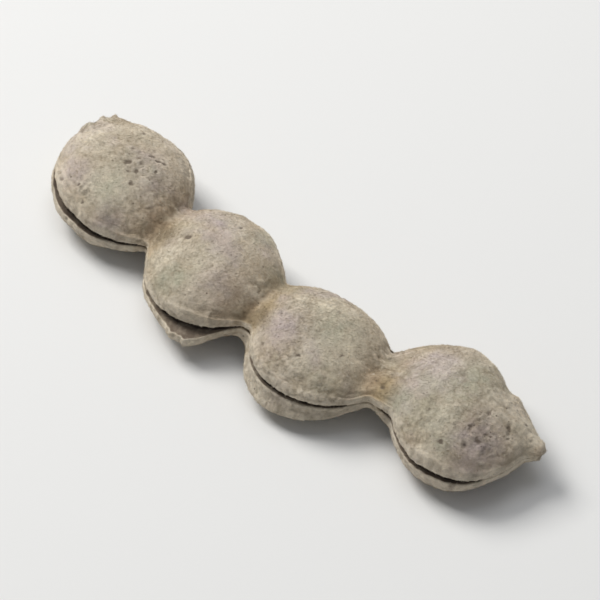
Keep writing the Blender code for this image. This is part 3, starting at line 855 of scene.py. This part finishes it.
def makeShellColorGroup():
    # The colour over the surface, for the skin and for the felt on it
    inputs, outputs = [("Lightness", "NodeSocketFloat", 1.0)], [("Color", "NodeSocketColor")]
    tree, start, end = newTree("shellColor", "ShaderNodeTree", inputs, outputs)
    spot = scaled(tree, addNode(tree, "ShaderNodeTexCoord").outputs["Object"], 1 / mm)
    color = tonedShell(tree, spot)
    for stage in (feltGrain, flecks, darkMarks, darkSlit):
        color = stage(tree, spot, color)
    level = greyLevel(tree, start.outputs["Lightness"])
    tree.links.new(mixColor(tree, 1.0, color, level, "MULTIPLY"), end.inputs["Color"])
    return tree


def newMaterial(name):
    material = bpy.data.materials.new(name)
    material.use_nodes = True
    return material, material.node_tree, material.node_tree.nodes["Principled BSDF"]


def colorFrom(group, tree, surface, lightness):
    colors = addNode(tree, "ShaderNodeGroup", node_tree=group)
    colors.inputs["Lightness"].default_value = lightness
    tree.links.new(colors.outputs["Color"], surface.inputs["Base Color"])


def makeShellMaterial(colorGroup):
    s = shellLook
    material, tree, surface = newMaterial("feltedShell")
    colorFrom(colorGroup, tree, surface, 1.0)
    spot = scaled(tree, addNode(tree, "ShaderNodeTexCoord").outputs["Object"], 1 / mm)
    fibres = noiseValue(tree, spot, *s["fibres"])
    grain = noiseValue(tree, spot, *s["grain"])
    felt = calc(tree, "ADD", product(tree, fibres, s["fibreShare"]), grain)
    bump = {"Height": felt, "Strength": s["bump"], "Distance": s["bumpDepth"] * mm}
    tree.links.new(addNode(tree, "ShaderNodeBump", bump).outputs[0], surface.inputs["Normal"])
    rough = calc(tree, "MULTIPLY_ADD", grain, s["roughnessDrop"], s["roughness"])
    tree.links.new(rough, surface.inputs["Roughness"])
    surface.inputs["Specular IOR Level"].default_value = s["specular"]
    surface.inputs["Sheen Weight"].default_value = s["sheen"]
    surface.inputs["Sheen Roughness"].default_value = s["sheenRoughness"]
    surface.inputs["Sheen Tint"].default_value = (*s["sheenTint"], 1.0)
    return material


# Felt: short closed spikes that lie nearly flat on the skin, in one piece a bead

feltShape = {
    "sizes": {
        "Density": 60.0,  # hairs a square millimetre
        "Length": 0.30, "Width": 0.030, "Lift": 0.28, "Least Height": 0.45,
    },
    "sides": 3, "shortest": 0.5, "longest": 1.15, "shadeUpTo": 0.3, "hollowUpTo": 0.25,
    "lightness": 1.18, "roughness": 0.95, "specular": 0.1,
}


def feltedPart(tree, spot, size):
    # 1 on this bead's skin, and 0 in the slit, in the pits and low down by the floor
    def field(name):
        return storedField(tree, name)

    hollow = calc(tree, "MAXIMUM", field("pit"), field("dent"))
    return product(
        tree,
        calc(tree, "GREATER_THAN", field("along"), size["From"]),
        calc(tree, "LESS_THAN", field("along"), size["To"]),
        calc(tree, "GREATER_THAN", heightOf(tree, spot), size["Least Height"]),
        calc(tree, "LESS_THAN", field("inSlit"), feltShape["shadeUpTo"]),
        calc(tree, "LESS_THAN", hollow, feltShape["hollowUpTo"]),
    )


def lyingWay(tree, normal, size):
    # A random way along the skin, lifted a little off it
    stray = addNode(tree, "FunctionNodeRandomValue", data_type="FLOAT_VECTOR")
    stray.inputs[0].default_value, stray.inputs[1].default_value = (-1, -1, -1), (1, 1, 1)
    tree.links.new(size["Seed"], stray.inputs["Seed"])
    pair = {0: stray.outputs[0], 1: normal}
    upright = addNode(tree, "ShaderNodeVectorMath", pair, operation="DOT_PRODUCT")
    flat = vectorCalc(tree, "SUBTRACT", stray.outputs[0], scaled(tree, normal, upright.outputs["Value"]))
    flat = vectorCalc(tree, "NORMALIZE", flat)
    lying = vectorCalc(tree, "ADD", flat, scaled(tree, normal, size["Lift"]))
    return addNode(tree, "FunctionNodeAlignRotationToVector", {"Vector": lying}, axis="Z").outputs[0]


def makeFeltTree(material):
    reach = [("From", "NodeSocketFloat", 0.0), ("To", "NodeSocketFloat", 1.0)]
    tree, size, end = newShapeTree("podFelt", feltShape["sizes"], [*reach, ("Seed", "NodeSocketInt", 0)])
    chosen = feltedPart(tree, placeInMm(tree), size)
    thick = calc(tree, "MULTIPLY", size["Density"], 1 / mm**2)
    spread = addNode(tree, "GeometryNodeDistributePointsOnFaces", {
        "Mesh": size["Geometry"], "Selection": chosen, "Density": thick, "Seed": size["Seed"]})
    spike = addNode(tree, "GeometryNodeMeshCone", {
        "Vertices": feltShape["sides"], "Side Segments": 1, "Radius Top": 0.0,
        "Radius Bottom": calc(tree, "MULTIPLY", size["Width"], mm / 2),
        "Depth": calc(tree, "MULTIPLY", size["Length"], mm)}, fill_type="NGON")
    long = addNode(tree, "FunctionNodeRandomValue", {"Seed": size["Seed"]}, data_type="FLOAT")
    long.inputs[2].default_value = feltShape["shortest"]
    long.inputs[3].default_value = feltShape["longest"]
    hairs = addNode(tree, "GeometryNodeInstanceOnPoints", {
        "Points": spread.outputs["Points"], "Instance": spike.outputs["Mesh"],
        "Rotation": lyingWay(tree, spread.outputs["Normal"], size), "Scale": long.outputs[1]})
    endShapeTree(tree, end, hairs.outputs[0], material)
    return tree


def makeFeltMaterial(colorGroup):
    material, tree, surface = newMaterial("feltHairs")
    colorFrom(colorGroup, tree, surface, feltShape["lightness"])
    surface.inputs["Roughness"].default_value = feltShape["roughness"]
    surface.inputs["Specular IOR Level"].default_value = feltShape["specular"]
    return material


def makeFelt(skin, material):
    tree = makeFeltTree(material)
    edges = [snappedEnd - 1, *neckPlaces, beakEnd + 1]
    for number, (low, high) in enumerate(zip(edges, edges[1:])):
        values = dict(feltShape["sizes"], From=float(low), To=float(high), Seed=number + 1)
        felt = appliedNodes(skin, tree, values, "feltBead" + "ABCD"[number])
        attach(felt, "root")
        hairs = len(felt.data.polygons) // (feltShape["sides"] + 1)
        print("felt on bead", number + 1, "has", hairs, "hairs")


# Studio: camera at the photograph's angle, pale floor, soft light

studio = {
    "azimuth": 42.0, "elevation": 50.3, "distance": 0.5, "fieldWidth": 0.056, "sensor": 36,
    "aim": (0.0006, 0.0022, 0.0038),
    "floor": (0.80, 0.80, 0.79), "floorRoughness": 0.9, "floorReach": 1.5,
    "world": (0.95, 0.97, 1.0), "worldStrength": 0.25,
    "lights": (  # azimuth from the camera's, elevation, distance, size, power, colour
        (-135.0, 46.0, 0.60, 0.28, 3.2, (1.0, 0.985, 0.96)),
        (170.0, 70.0, 0.8, 0.5, 1.4, (0.97, 0.98, 1.0)),
    ),
}


def fromAngles(azimuth, elevation):
    a, e = radians(azimuth), radians(elevation)
    return Vector((sin(a) * cos(e), -cos(a) * cos(e), sin(e)))


def aimed(name, data, away, distance, target):
    thing = newObject(name, data)
    thing.location = target + away * distance
    thing.rotation_mode = "QUATERNION"
    thing.rotation_quaternion = (-away).to_track_quat("-Z", "Y")
    return thing


def makeCamera():
    data = bpy.data.cameras.new("camera")
    data.sensor_width = studio["sensor"]
    data.lens = studio["sensor"] * studio["distance"] / studio["fieldWidth"]
    data.clip_start = 0.01
    away = fromAngles(studio["azimuth"], studio["elevation"])
    camera = aimed("camera", data, away, studio["distance"], Vector(studio["aim"]))
    bpy.context.scene.camera = camera


def makeLights():
    for azimuth, elevation, distance, size, power, color in studio["lights"]:
        data = bpy.data.lights.new("softbox", "AREA")
        data.size, data.energy, data.color = size, power, color
        away = fromAngles(azimuth + studio["azimuth"], elevation)
        aimed("softbox", data, away, distance, Vector((0, 0, 0)))
    world = bpy.data.worlds.new("studio")
    world.use_nodes = True
    sky = world.node_tree.nodes["Background"]
    sky.inputs[0].default_value = (*studio["world"], 1)
    sky.inputs[1].default_value = studio["worldStrength"]
    bpy.context.scene.world = world
    bpy.context.scene.view_settings.view_transform = "Standard"


def makeFloor():
    material, tree, surface = newMaterial("paleFloor")
    surface.inputs["Base Color"].default_value = (*studio["floor"], 1)
    surface.inputs["Roughness"].default_value = studio["floorRoughness"]
    reach = studio["floorReach"]
    corners = [(x * reach, y * reach, 0) for x, y in ((-1, -1), (1, -1), (1, 1), (-1, 1))]
    mesh = bpy.data.meshes.new("floor")
    mesh.from_pydata(corners, [], [(0, 1, 2, 3)])
    mesh.materials.append(material)
    newObject("floor", mesh)


shellColorGroup = makeShellColorGroup()
shellMaterial = makeShellMaterial(shellColorGroup)
blank = makePodSkin()
print("pod lofted:", len(blank.data.polygons), "faces")
podSkin = appliedNodes(blank, makeReliefTree(shellMaterial), relief["sizes"], "podSkin")
bpy.data.objects.remove(blank)
print("relief added")
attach(podSkin, "root")
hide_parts("pod")
makeFelt(podSkin, makeFeltMaterial(shellColorGroup))

makeCamera()
makeLights()
makeFloor()
print("studio made")
